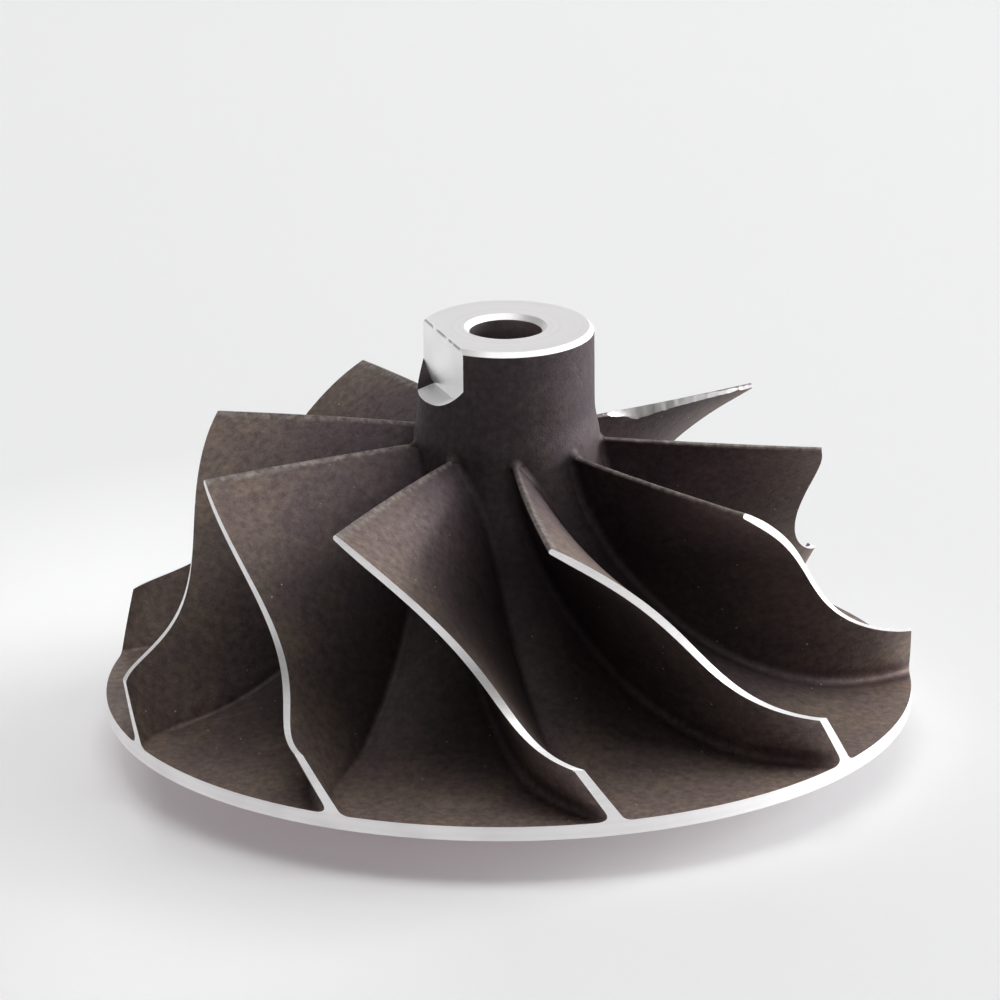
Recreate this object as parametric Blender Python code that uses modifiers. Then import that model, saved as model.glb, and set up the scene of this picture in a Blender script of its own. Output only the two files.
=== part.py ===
"""Turbocharger compressor wheel, modelled as the one aluminium casting that it is.

The hub, the back disc and nine full blades are cast together. The casting is then turned
on the rim, the blade tips, the back and the nose, bored for its shaft, and balanced by a
flat milled off the nose.

Units are metres. +Z is the wheel's axis and points out of the air intake. The origin is
the centre of the rear boss face, which seats on the shaft. Seen from the nose the wheel
turns clockwise, so each blade sweeps back anticlockwise on its way to the rim.
"""

import math

import bmesh
import bpy
from mathutils import Vector

MM = 0.001

# Driving dimensions, in millimetres. Heights named RIM_TO_... start at the rim's top edge.
BLADE_COUNT = 9
EXDUCER_RADIUS = 39.0
NOSE_RADIUS = 8.5
BORE_RADIUS = 3.5
RIM_THICKNESS = 1.4
REAR_DEPTH = 4.4  # the boss face lies this far below the rim's underside
RIM_TO_NOSE = 36.5

# Turned edges and the rear boss
NOSE_CHAMFER = 0.45
BORE_CHAMFER = 0.5
BOSS_RADIUS = 9.5
BOSS_EDGE = 0.4
REAR_CURVE = ((36.5, 4.4), (27.0, 4.3), (14.0, 3.7), (11.0, 0.7))  # radius, height

# The air path between the leading edge and the rim, as Bezier control points:
# radius and height over the rim's top edge
HUB_CURVE = ((9.0, 25.47), (9.2, 18.3), (16.4, -0.1), (32.2, 0.4), (39.0, 0.0))
TIP_CURVE = ((30.3, 24.2), (30.8, 15.8), (27.7, 8.0), (36.3, 6.7), (39.0, 5.4))
# Angle swept by the blade on the same stations, in degrees
HUB_WRAP = (-3.4, 22.7, 37.6, 36.7, 47.8)
TIP_WRAP = (0.0, 27.9, 31.5, 34.8, 42.2)
FIRST_BLADE_ANGLE = 37.3
# The casting's nose widens into the hub over this height
NOSE_FLARE = ((8.5, 29.0), (8.5, 27.6), (8.9, 26.9), (9.0, 25.47))

# Blade thicknesses, measured square to the blade
TIP_THICKNESS = 0.74
EXIT_TIP_THICKNESS = 0.5
ROOT_THICKNESS = 1.7
EXIT_ROOT_THICKNESS = 0.8
ROOT_SWELL = 1.9
LEADING_EDGE_THICKNESS = 0.5
ROOT_FILLET = 0.8
LEADING_EDGE_FILLET = 0.25

# Balance flat on the nose, milled from outside with a tapered cutter: where it faces, how
# near the axis, how far down it goes, how wide it is, its lower corners, and its walls' flare
FLAT_ANGLE = -160.0
FLAT_DISTANCE = 6.4
FLAT_LENGTH = 5.75
FLAT_WIDTH = 13.4
FLAT_CORNER_RADIUS = 4.6
FLAT_WALL_FLARE = 17.0

# Stock left on the casting for turning, and the fineness of the faceted solid
TURNING_STOCK = 0.6
LARGEST_FILLET_REACH = 1.9
TURNED_STEPS = 72
HUB_STEPS = 12
SMOOTH_BELOW = math.radians(32)

RIM_TOP = REAR_DEPTH + RIM_THICKNESS
NOSE_TOP = RIM_TOP + RIM_TO_NOSE
FACE_ROWS = (0.33, 0.66, 1.0)


def clear_scene():
    for obj in list(bpy.data.objects):
        bpy.data.objects.remove(obj, do_unlink=True)


def new_collection(name):
    collection = bpy.data.collections.new(name)
    bpy.context.scene.collection.children.link(collection)
    return collection


def bezier(values, u):
    """The value at u of the Bezier curve with these control values."""
    degree = len(values) - 1
    return sum(
        math.comb(degree, k) * u**k * (1 - u) ** (degree - k) * value
        for k, value in enumerate(values)
    )


def bezier_point(controls, u):
    """Radius and height at u on a curve given by its control points."""
    return tuple(bezier(axis, u) for axis in zip(*controls))


def sampled(controls, count, lift=0.0):
    """Points along a curve, raised by lift."""
    points = (bezier_point(controls, k / count) for k in range(count + 1))
    return [(radius, height + lift) for radius, height in points]


def mix(a, b, share):
    return a + (b - a) * share


def turned(name, outline, collection):
    """A body of revolution. The closed outline of radius and height runs down its outside."""
    mesh = bpy.data.meshes.new(name)
    points = [(radius * MM, 0.0, height * MM) for radius, height in outline]
    count = len(points)
    mesh.from_pydata(points, [(k, (k + 1) % count) for k in range(count)], [])
    obj = bpy.data.objects.new(name, mesh)
    collection.objects.link(obj)
    screw = obj.modifiers.new("turn", "SCREW")
    screw.axis = "Z"
    screw.angle = math.tau
    screw.steps = screw.render_steps = TURNED_STEPS
    return obj


def make_helper(obj):
    """Keep a cutter, or a body that a Boolean joins on, out of the finished model."""
    obj.hide_render = True
    obj.display_type = "WIRE"
    return obj


def hub_blank(collection):
    """Nose, hub and back disc, with stock on the rim and the bore already through."""
    rim = EXDUCER_RADIUS + TURNING_STOCK
    bore_edge = BORE_RADIUS + BORE_CHAMFER
    outline = [
        (bore_edge, NOSE_TOP),
        (NOSE_RADIUS - NOSE_CHAMFER, NOSE_TOP),
        (NOSE_RADIUS, NOSE_TOP - NOSE_CHAMFER),
    ]
    outline += sampled(NOSE_FLARE, 3, RIM_TOP)
    outline += sampled(HUB_CURVE, HUB_STEPS, RIM_TOP)[1:]
    outline += [(rim, RIM_TOP), (rim, REAR_DEPTH)]
    outline += sampled(REAR_CURVE, 5)
    outline += [
        (BOSS_RADIUS, BOSS_EDGE),
        (BOSS_RADIUS - BOSS_EDGE, 0.0),
        (bore_edge, 0.0),
        (BORE_RADIUS, BORE_CHAMFER),
        (BORE_RADIUS, NOSE_TOP - BORE_CHAMFER),
    ]
    return turned("compressor_wheel", outline, collection)


def polar(u, span):
    """Radius, angle and height of a point on the blade's middle surface.

    u runs from the leading edge, 0, to the rim, 1, and span from the hub, 0, to the tip, 1.
    """
    hub_radius, hub_height = bezier_point(HUB_CURVE, u)
    tip_radius, tip_height = bezier_point(TIP_CURVE, u)
    angle = math.radians(mix(bezier(HUB_WRAP, u), bezier(TIP_WRAP, u), span))
    height = RIM_TOP + mix(hub_height, tip_height, span)
    return mix(hub_radius, tip_radius, span), angle, height


def from_polar(radius, angle, height):
    return Vector((radius * math.cos(angle), radius * math.sin(angle), height))


def blade_normal(u, span):
    """Square to the middle surface, as its shares outward, round the axis and upward."""
    step = 0.01
    along = from_polar(*polar(u + step, span)) - from_polar(*polar(u - step, span))
    across = from_polar(*polar(u, span + step)) - from_polar(*polar(u, span - step))
    normal = along.cross(across).normalized()
    angle = polar(u, span)[1]
    outward = Vector((math.cos(angle), math.sin(angle), 0.0))
    onward = Vector((-math.sin(angle), math.cos(angle), 0.0))
    return normal.dot(outward), normal.dot(onward), normal.z


def smooth(share):
    """From 0 to 1 without a kink at either end."""
    share = min(1.0, max(0.0, share))
    return share * share * (3.0 - 2.0 * share)


def half_thickness(u, span):
    late = smooth((u - 0.5) / 0.5)
    root = mix(ROOT_THICKNESS, EXIT_ROOT_THICKNESS, late)
    tip = mix(TIP_THICKNESS, EXIT_TIP_THICKNESS, late)
    share = min(1.0, max(0.0, span))
    # the root swells between the leading edge and the rim, and thins out again up the blade
    swell = ROOT_SWELL * smooth(u / 0.25) * (1.0 - smooth((u - 0.7) / 0.22))
    thickness = mix(root, tip, share) + swell * (1.0 - share) ** 2
    behind_edge = min(1.0, max(0.0, u) / 0.06)
    return mix(LEADING_EDGE_THICKNESS, thickness, behind_edge) / 2


def face_point(u, span, side):
    """A point on one face of the blade, as radius, angle and height."""
    radius, angle, height = polar(u, span)
    outward, onward, upward = blade_normal(u, span)
    offset = side * half_thickness(u, span)
    radius += outward * offset
    return radius, angle + onward * offset / radius, height + upward * offset


def foot(u, side, length):
    """The fillet's rows, from inside the hub up to the face, and how far up that is."""
    step = 0.005
    base, tip = polar(u, 0.0), polar(u, 1.0)
    before, after = polar(u - step, 0.0), polar(u + step, 0.0)
    along_r, along_z = after[0] - before[0], after[2] - before[2]
    pace = math.hypot(along_r, along_z)
    along_r, along_z, pace = along_r / pace, along_z / pace, pace / (2 * step)
    up_r, up_z = -along_z, along_r

    # slide the face along the blade until it meets the hub: that is the fillet's corner
    face = face_point(u, 0.0, side)
    above = (face[0] - base[0]) * up_r + (face[2] - base[2]) * up_z
    climb = ((tip[0] - base[0]) * up_r + (tip[2] - base[2]) * up_z) / length
    slide = -above / climb
    corner = face_point(u, slide / length, side)

    # the way along the hub from that corner, square to the blade
    outward, onward, upward = blade_normal(u, 0.0)
    into_hub = outward * up_r + upward * up_z
    square = side / math.sqrt(1.0 - into_hub**2)
    along = (outward * along_r + upward * along_z) * square
    around = onward * square

    # the sharper the corner, the further a fillet of this radius reaches
    rise = Vector((tip[0] - base[0], base[0] * (tip[1] - base[1]), tip[2] - base[2]))
    rise.normalize()
    lean = rise.dot(Vector((along * along_r, around, along * along_z)))
    radius = mix(LEADING_EDGE_FILLET, ROOT_FILLET, min(1.0, max(0.0, u) / 0.06))
    size = radius * math.sqrt((1.0 + lean) / (1.0 - lean))
    size = min(LARGEST_FILLET_REACH, max(radius / 2, size))

    high = face_point(u, (slide + size) / length, side)
    drift = (corner[0] - base[0]) * along_r + (corner[2] - base[2]) * along_z
    hub_radius, _, hub_height = polar(u + (drift + along * size) / pace, 0.0)
    angle = corner[1] + around * size / hub_radius
    low = (hub_radius - 0.03 * up_r, angle, hub_height - 0.03 * up_z)
    buried = (hub_radius - up_r, angle, hub_height - up_z)
    bend = tuple(0.25 * a + 0.5 * b + 0.25 * c for a, b, c in zip(low, corner, high))
    return [buried, low, bend, high], slide + size


def blade_section(u):
    """A closed ring of points round the blade at one station, up one face and down the other."""
    length = (from_polar(*polar(u, 1.0)) - from_polar(*polar(u, 0.0))).length
    ring = []
    for side in (1, -1):
        rows, start = foot(u, side, length)
        for share in FACE_ROWS:
            depth = mix(start, length + TURNING_STOCK, share)
            rows.append(face_point(u, depth / length, side))
        ring += rows[::side]
    return [from_polar(*point) * MM for point in ring]


def blade_mesh():
    """One blade, lofted through its sections. It starts inside the hub, with turning stock."""
    past_rim = 1.0 + TURNING_STOCK / 27.0
    stations = [0.0, 0.06] + [0.06 + (past_rim - 0.06) * k / 12 for k in range(1, 13)]
    bm = bmesh.new()
    rings = [[bm.verts.new(point) for point in blade_section(u)] for u in stations]
    count = len(rings[0])
    for ring, following in zip(rings, rings[1:]):
        for k in range(count):
            after = (k + 1) % count
            bm.faces.new((ring[k], ring[after], following[after], following[k]))
    for ring in (rings[0], rings[-1]):
        for k in range(count // 2 - 1):
            bm.faces.new((ring[k], ring[k + 1], ring[count - 2 - k], ring[count - 1 - k]))
    bmesh.ops.recalc_face_normals(bm, faces=bm.faces)
    mesh = bpy.data.meshes.new("blade")
    bm.to_mesh(mesh)
    bm.free()
    return mesh


def place_blades(collection):
    mesh = blade_mesh()
    for k in range(BLADE_COUNT):
        blade = make_helper(bpy.data.objects.new(f"blade_{k + 1}", mesh))
        turn = math.radians(FIRST_BLADE_ANGLE) + math.tau * k / BLADE_COUNT
        blade.rotation_euler.z = turn
        collection.objects.link(blade)


def turning_ring(collection):
    """What the lathe takes off: everything outside the blade tips and the rim."""
    outside, above, below = EXDUCER_RADIUS + 6.0, NOSE_TOP + 1.0, -1.0
    tips = sampled(TIP_CURVE, HUB_STEPS, RIM_TOP)[::-1]
    outline = [
        (outside, above),
        (outside, below),
        (EXDUCER_RADIUS, below),
        *tips,
        (tips[-1][0], above),
    ]
    return make_helper(turned("turning_ring", outline, collection))


def balance_outline(wider):
    """The flat's outline, open above the nose face, as places across and up."""
    centre = NOSE_TOP - FLAT_LENGTH + FLAT_CORNER_RADIUS
    half_width, radius = FLAT_WIDTH / 2 + wider, FLAT_CORNER_RADIUS + wider
    points = [(-half_width, NOSE_TOP + 1.0)]
    for k in range(20):
        angle = math.pi * (1 + k / 19)
        across = radius * math.cos(angle) + math.copysign(half_width - radius, k - 9.5)
        points.append((across, centre + radius * math.sin(angle)))
    points.append((half_width, NOSE_TOP + 1.0))
    return points


def balance_cutter(collection):
    """The cutter's sweep, lofted from the flat outward along its flared walls."""
    depth = 4.0
    flare = depth * math.tan(math.radians(FLAT_WALL_FLARE))
    bm = bmesh.new()
    rings = []
    for away, wider in ((FLAT_DISTANCE, 0.0), (FLAT_DISTANCE + depth, flare)):
        points = (Vector((away, *point)) * MM for point in balance_outline(wider))
        rings.append([bm.verts.new(point) for point in points])
    inner, outer = rings
    for k, start in enumerate(inner):
        after = (k + 1) % len(inner)
        bm.faces.new((start, inner[after], outer[after], outer[k]))
    bm.faces.new(inner)
    bm.faces.new(outer)
    bmesh.ops.recalc_face_normals(bm, faces=bm.faces)
    mesh = bpy.data.meshes.new("balance_cutter")
    bm.to_mesh(mesh)
    bm.free()
    cutter = make_helper(bpy.data.objects.new("balance_cutter", mesh))
    cutter.rotation_euler.z = math.radians(FLAT_ANGLE)
    collection.objects.link(cutter)
    return cutter


def boolean(obj, name, operation, operand):
    modifier = obj.modifiers.new(name, "BOOLEAN")
    modifier.operation = operation
    modifier.solver = "EXACT"
    if isinstance(operand, bpy.types.Collection):
        modifier.operand_type = "COLLECTION"
        modifier.collection = operand
    else:
        modifier.object = operand


def cast_aluminium():
    material = bpy.data.materials.new("cast_aluminium")
    material.use_nodes = True
    shader = material.node_tree.nodes["Principled BSDF"]
    shader.inputs["Base Color"].default_value = (0.17, 0.155, 0.145, 1.0)
    shader.inputs["Metallic"].default_value = 0.9
    shader.inputs["Roughness"].default_value = 0.55
    return material


def main():
    clear_scene()
    parts = new_collection("turbocharger_compressor_wheel")
    blades = new_collection("blade_castings")
    cutters = new_collection("cutters")

    wheel = hub_blank(parts)
    place_blades(blades)
    boolean(wheel, "cast_blades", "UNION", blades)
    boolean(wheel, "turn_tips_and_rim", "DIFFERENCE", turning_ring(cutters))
    boolean(wheel, "mill_balance_flat", "DIFFERENCE", balance_cutter(cutters))

    evaluated = wheel.evaluated_get(bpy.context.evaluated_depsgraph_get())
    mesh = bpy.data.meshes.new_from_object(evaluated)
    wheel.modifiers.clear()
    wheel.data = mesh
    mesh.shade_smooth()
    mesh.set_sharp_from_angle(angle=SMOOTH_BELOW)
    mesh.materials.clear()
    mesh.materials.append(cast_aluminium())


if __name__ == "__main__":
    main()
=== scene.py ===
"""Turbocharger compressor wheel: the finished casting, its surfaces and a plain studio.

The wheel is made as the real one is. A hub is turned up with stock on it, nine blades are
cast on to it, and then each cutting tool takes its share away and leaves its own finish:
the lathe on the rim, the blade tips, the nose and the back, the drill in the bore and the
mill on the balance flat. What no tool touches keeps its as-cast skin.

Units are metres and +Z is the wheel's axis, out of the nose.
"""

import math

import bmesh
import bpy
from bpy.props import FloatProperty, FloatVectorProperty, IntProperty, PointerProperty
from mathutils import Matrix, Vector, noise


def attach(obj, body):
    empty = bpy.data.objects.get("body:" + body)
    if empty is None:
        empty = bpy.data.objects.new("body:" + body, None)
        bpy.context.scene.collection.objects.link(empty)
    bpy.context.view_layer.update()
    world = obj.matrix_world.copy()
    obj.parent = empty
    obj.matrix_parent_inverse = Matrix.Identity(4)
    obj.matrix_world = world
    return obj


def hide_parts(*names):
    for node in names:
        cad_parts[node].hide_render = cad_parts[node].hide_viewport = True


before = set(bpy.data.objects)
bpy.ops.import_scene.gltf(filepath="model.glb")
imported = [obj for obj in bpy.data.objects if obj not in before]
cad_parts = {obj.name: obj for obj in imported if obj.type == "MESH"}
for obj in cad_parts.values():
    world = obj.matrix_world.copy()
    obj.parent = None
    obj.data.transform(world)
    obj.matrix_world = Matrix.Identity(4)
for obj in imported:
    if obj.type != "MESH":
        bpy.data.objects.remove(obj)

bl_info = {
    "name": "Turbocharger Compressor Wheel",
    "version": (1, 0, 0),
    "blender": (4, 5, 0),
    "location": "View3D > Sidebar > Compressor Wheel",
    "description": "Casts, turns and finishes a compressor wheel, and lights it",
    "category": "Add Mesh",
}

MM = 0.001
WHEEL_NODE = "compressor_wheel"
CASTING = "casting"
HUB_BLANK = "hub_blank"
BLADE_RING = "blade_ring"
COLLAR_RING = "collar_ring"

# How finely the surfaces are drawn
TURNED_STEPS = 360
FLARE_SAMPLES = 12
HUB_SAMPLES = 56
TIP_SAMPLES = 64
REAR_SAMPLES = 40
FILLET_ROWS = 7
FACE_ROWS = 12
FLOW_STATIONS = 62
COLLAR_STEPS = 48
CORNER_STEPS = 96
FILE_ROWS, FILE_COLUMNS = 90, 9
SHARP_ANGLE = math.radians(28)
# Stations crowd towards the leading edge, where a blade's section is round
EDGE_STATIONS = (0.0, 0.0006, 0.0016, 0.003, 0.0048, 0.0075, 0.012, 0.018)

# Limits of the fillets, and how far behind the leading edge they and the blade are full
SMALLEST_FILLET = 0.05 * MM
LARGEST_FILLET_REACH = 1.9 * MM
FILLET_SINK = 0.015 * MM
FILLET_RUN = 1.5
EDGE_TAPER = 4.0 * MM
EDGE_BLUNT = 0.02 * MM

# Shares of the way from the leading edge to the rim: where a blade starts to thin, where its
# root has swelled, and from where and over how long the swelling fades
THINS_FROM = 0.5
SWELLED_BY = 0.25
FADES_FROM, FADE_LENGTH = 0.7, 0.22

# Stock that the casting carries for the tools to take off, how far a blade runs for one unit
# of u where it meets the rim, and the pilot hole in the nose
TURNING_STOCK = 0.6 * MM
RIM_PACE = 27.0 * MM
PILOT_RADIUS = 1.0 * MM

# How near the axis the turned tools start, how deep the mill's sweep is, half the width
# that the file covered, and the shares of the blade's height between which it ran
TOOL_INNER = 0.5 * MM
MILL_DEPTH = 4 * MM
FILE_REACH = 0.9 * MM
FILE_SPAN = (0.02, 1.05)
# Waves in a metre of the file's coarse and fine unevenness
COARSE_WAVES, FINE_WAVES = 900.0, 2400.0

# Colours of small marks, the painted glints on the skin and the painted shade along the flat's
# burr, how far below the nose face that shade fades in, and the skin's painted light and shade,
# each named as its setting is
GLINT_COLOUR = (0.6, 0.57, 0.52)
BURR_SHADE_COLOUR = (0.12, 0.11, 0.12)
BURR_DEPTHS = (0.38 * MM, 0.2 * MM)
SHADES = ("Hub Shade", "Nose Shade", "Rim Shade", "Wall Shade", "Tip Shade")

# Where the table glows more, a painted light that lightens the wheel's shadow: past the shadow's
# edge, which is further in on the left, up to some way out, and the more the further left
SHADOW_EDGE = (36 * MM, 46 * MM)
SHADOW_SIDE = (-33 * MM, -38 * MM)
FURTHER_IN = 8 * MM
GLOW_SIDE = (0.0, -40 * MM)
GLOW_END = (95 * MM, 62 * MM)

# The studio's lights: azimuth and height in degrees, width and height in metres, and watts.
# Azimuth 0 is the camera's side and 90 the right.
LARGE, SHORT, LOW = (1.4, 1.4), (1.4, 1.0), (1.7, 0.85)
SOFTBOXES = {
    "front": ((0, 35), LARGE, 1.1),
    "front_right": ((65, 28), LARGE, 3.6),
    "right": ((90, 22), LARGE, 13.0),
    "behind_right": ((135, 35), LARGE, 4.6),
    "behind": ((180, 35), LARGE, 1.2),
    "behind_left": ((225, 35), LARGE, 0.9),
    "left": ((270, 35), LARGE, 1.0),
    "low_right": ((110, 13), SHORT, 47.2),
    "low_behind": ((180, 12), LOW, 6.0),
    "low_behind_left": ((225, 12), LOW, 4.7),
    "high_front": ((0, 60), LARGE, 1.7),
    "high_right": ((90, 60), LARGE, 8.2),
    "high_left": ((270, 60), LARGE, 2.8),
    "overhead": ((0, 90), LARGE, 16.1),
}

# Metres across the table, and millimetres across the camera's sensor
TABLE_SIZE, SENSOR_WIDTH = 6.0, 36.0


def length(name, millimetres, description):
    return FloatProperty(
        name=name, description=description, default=millimetres * MM, min=0.0, precision=5, unit="LENGTH"
    )


def lengths(name, millimetres, description):
    values = [value * MM for value in millimetres]
    return FloatVectorProperty(
        name=name, description=description, default=values, size=len(values), precision=5, unit="LENGTH"
    )


def angles(name, degrees, description):
    values = [math.radians(value) for value in degrees]
    return FloatVectorProperty(
        name=name, description=description, default=values, size=len(values), unit="ROTATION"
    )


def angle(name, degrees, description):
    return FloatProperty(
        name=name, description=description, default=math.radians(degrees), subtype="ANGLE"
    )


def colour(name, value, description):
    return FloatVectorProperty(
        name=name, description=description, default=value, size=3, min=0.0, max=1.0, subtype="COLOR"
    )


def amount(name, value, description, most=1.0):
    return FloatProperty(name=name, description=description, default=value, min=0.0, max=most)


def whole(name, value, description, least=0, most=99):
    return IntProperty(name=name, description=description, default=value, min=least, max=most)


class WheelShape(bpy.types.PropertyGroup):
    """Sizes of the wheel. Curve heights start at the rim's top edge."""

    blade_count: whole("Blades", 9, "Full blades round the hub", 3, 24)
    first_blade: angle("First blade", 37.3, "Where the first leading edge points")
    rim_radius: length("Rim radius", 39.0, "Radius of the turned rim")
    rim_thickness: length("Rim thickness", 1.4, "Width of the turned rim band")
    rear_depth: length("Rear depth", 4.4, "From the rim's underside to the boss face")
    nose_height: length("Nose height", 36.5, "From the rim's top edge to the nose face")
    nose_radius: length("Nose radius", 8.5, "Radius of the cylindrical nose")
    nose_chamfer: length("Nose chamfer", 0.45, "Chamfer round the nose face")
    bore_radius: length("Bore radius", 3.5, "Radius of the shaft bore")
    bore_chamfer: length("Bore chamfer", 0.5, "Chamfer at each end of the bore")
    boss_radius: length("Boss radius", 9.5, "Radius of the rear boss")
    boss_edge: length("Boss edge", 0.4, "Chamfer round the rear boss face")
    rear_radii: lengths("Rear radii", (36.5, 27.0, 14.0, 11.0), "Back face curve, radii")
    rear_heights: lengths("Rear heights", (4.4, 4.3, 3.7, 0.7), "Back face curve, heights over the boss")
    flare_radii: lengths("Flare radii", (8.5, 8.5, 8.9, 9.0), "Where the nose widens into the hub")
    flare_heights: lengths("Flare heights", (29.0, 27.6, 26.9, 25.47), "Heights of the same curve")
    hub_radii: lengths("Hub radii", (9.0, 9.2, 16.4, 32.2, 39.0), "Hub curve from inlet to rim, radii")
    hub_heights: lengths("Hub heights", (25.47, 18.3, -0.1, 0.4, 0.0), "Hub curve, heights")
    hub_wrap: angles("Hub wrap", (-3.4, 22.7, 37.6, 36.7, 47.8), "Blade sweep along the hub")
    tip_radii: lengths("Tip radii", (30.3, 30.8, 27.7, 36.3, 39.0), "Turned tip curve, radii")
    tip_heights: lengths("Tip heights", (24.2, 15.8, 8.0, 6.7, 5.4), "Turned tip curve, heights")
    tip_wrap: angles("Tip wrap", (0.0, 27.9, 31.5, 34.8, 42.2), "Blade sweep along the tip")
    tip_thickness: length("Tip thickness", 0.74, "Blade thickness at the turned tip")
    root_thickness: length("Root thickness", 1.7, "Blade thickness at the hub")
    exit_tip_thickness: length("Exit tip thickness", 0.5, "The same at the tip where it meets the rim")
    exit_root_thickness: length("Exit root thickness", 0.8, "The same at the hub where it meets the rim")
    edge_thickness: length("Leading edge thickness", 0.5, "Thickness of the round edge")
    root_swell: length("Root swell", 1.9, "How much thicker the root is midway")
    root_fillet: length("Root fillet", 0.8, "Radius of the fillet between blade and hub")
    flat_angle: angle("Flat angle", -160.0, "Where the balance flat faces")
    flat_distance: length("Flat distance", 6.4, "From the axis to the balance flat")
    flat_length: length("Flat length", 5.75, "From the nose face to the flat's end")
    flat_width: length("Flat width", 13.4, "Width that the cutter swept")
    flat_corner: length("Flat corner", 4.6, "Radius of the flat's lower corners")
    flat_flare: angle("Flat flare", 17.0, "Lean of the tapered cutter's walls")
    # the steps of the flat's left wall that take the painted shade
    flat_shaded_steps: whole("Dull steps", 46, "Steps of the flat's left wall that are dull")
    fettled_blade: whole("Fettled blade", 0, "The blade whose leading edge was filed")
    fettled_depth: length("Fettled depth", 0.05, "What the file took off at the back")
    fettled_facet: length("Fettled facet", 1.0, "How far down the front it reached")


class WheelFinish(bpy.types.PropertyGroup):
    """Colours and textures of the casting and of what each tool leaves, and the light and shade painted
    on them.
    """

    skin: colour("Cast skin", (0.149, 0.115, 0.106), "Main colour of the cast skin")
    skin_dark: colour("Cast shade", (0.118, 0.087, 0.092), "Darker patches of the skin")
    skin_warm: colour("Cast stain", (0.193, 0.148, 0.115), "Warm stains on the skin")
    # skin_edge is partly wear and partly a painted highlight along the leading edges' tops
    skin_edge: colour("Edge skin", (0.26, 0.225, 0.205), "Skin worn lighter along an edge")
    # the cooler tint by the hub is the colour of the painted shade there
    hub_shade_tint: colour("Inner tint", (0.9, 0.86, 1.0), "Tint of the skin by the hub")
    outer_tint: colour("Outer tint", (1.0, 0.99, 0.89), "Tint of the skin far out")
    # hub_shade to tip_shade are painted light and shade: the skin is darker low on the hub, in the
    # passages and on the nose, and lighter by the rim and high up
    hub_shade: amount("Hub shade", 0.37, "How dark the skin is low on the hub")
    nose_shade: amount("Nose shade", 0.5, "How dark the skin is on the nose", 2.0)
    rim_shade: amount("Rim shade", 1.78, "How light the skin is by the rim", 2.0)
    wall_shade: amount("Wall shade", 1.36, "How light blades are near the rim", 2.0)
    tip_shade: amount("Tip shade", 1.46, "How light the skin is high up and far out", 2.0)
    # corner_shade, fillet_reach and passage_reach set the painted shade in fillets and passages
    corner_shade: colour("Corner shade", (0.47, 0.39, 0.46), "Tint of the skin in corners")
    fillet_reach: length("Fillet reach", 1.8, "How near two walls are in a dark fillet")
    passage_reach: length("Passage reach", 18.0, "How near the walls of a dark passage are")
    skin_metallic: amount("Skin metallic", 0.5, "How much the skin shines like metal")
    turned: colour("Turned metal", (1.0, 0.985, 0.985), "Colour of turned aluminium")
    milled: colour("Milled metal", (1.0, 0.99, 0.99), "Colour of the balance flat")
    # the flat's left wall is painted near black: painted shade on that wall
    milled_wall: colour("Milled wall", (0.05, 0.04, 0.044), "The flat's duller wall")
    filed: colour("Filed metal", (0.58, 0.57, 0.57), "Colour of the filed edge")
    # the bore's darker metal is partly a duller drilled finish and partly painted shade inside the bore
    drilled: colour("Drilled metal", (0.62, 0.55, 0.56), "Colour inside the bore")
    grain_size: length("Grain size", 0.16, "Size of the cast skin's grain")
    turning_feed: length("Turning feed", 0.3, "Spacing of the lathe's grooves")


class StudioSettings(bpy.types.PropertyGroup):
    """Camera and lights."""

    camera_distance: length("Camera distance", 996.0, "From the camera to the point that it looks at")
    camera_elevation: angle("Camera elevation", 19.06, "Height of the camera's view")
    camera_roll: angle("Camera roll", -0.5, "Tilt of the camera about its view")
    camera_aim: lengths("Camera aim", (-0.69, 0.0, 24.67), "Point that the camera faces")
    camera_lens: amount("Focal length", 372.0, "In millimetres, for a sensor 36 mm wide", 1000.0)
    floor_colour: colour("Floor", (0.79, 0.812, 0.812), "Colour of the table")
    # floor_glow, floor_tint and left_glow are painted light: the table glows, lightening and tinting the
    # wheel's shadow
    floor_glow: amount("Floor glow", 0.0805, "Light that comes up through the table")
    floor_tint: colour("Glow tint", (1.0, 0.76, 0.84), "Colour of that light")
    left_glow: amount("Left glow", 0.15, "How much more of it there is on the left")
    light_distance: length("Light distance", 2200.0, "From the wheel to each light")
    light_aim: lengths("Light aim", (0.0, 0.0, 20.0), "Point that the lights face")
    brightness: amount("Brightness", 1.0, "Share of every light's power", 10.0)


# Curves and turned shapes


def bezier(values, u):
    """The value at u of the Bezier curve with these control values."""
    degree = len(values) - 1
    return sum(
        math.comb(degree, k) * u**k * (1 - u) ** (degree - k) * value
        for k, value in enumerate(values)
    )


def sampled(radii, heights, count, lift=0.0):
    """Points of radius and height along a curve, raised by lift."""
    shares = [k / count for k in range(count + 1)]
    return [(bezier(radii, u), bezier(heights, u) + lift) for u in shares]


def mix(a, b, share):
    return a + (b - a) * share


def smooth(share):
    """From 0 to 1 without a kink at either end."""
    share = min(1.0, max(0.0, share))
    return share * share * (3.0 - 2.0 * share)


def cartesian(radius, turn, height):
    return radius * math.cos(turn), radius * math.sin(turn), height


def new_object(name, data):
    obj = bpy.data.objects.new(name, data)
    bpy.context.scene.collection.objects.link(obj)
    return obj


def baked(obj):
    """The object's evaluated mesh, as a mesh of its own."""
    bpy.context.view_layer.update()
    evaluated = obj.evaluated_get(bpy.context.evaluated_depsgraph_get())
    return bpy.data.meshes.new_from_object(evaluated)


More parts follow.
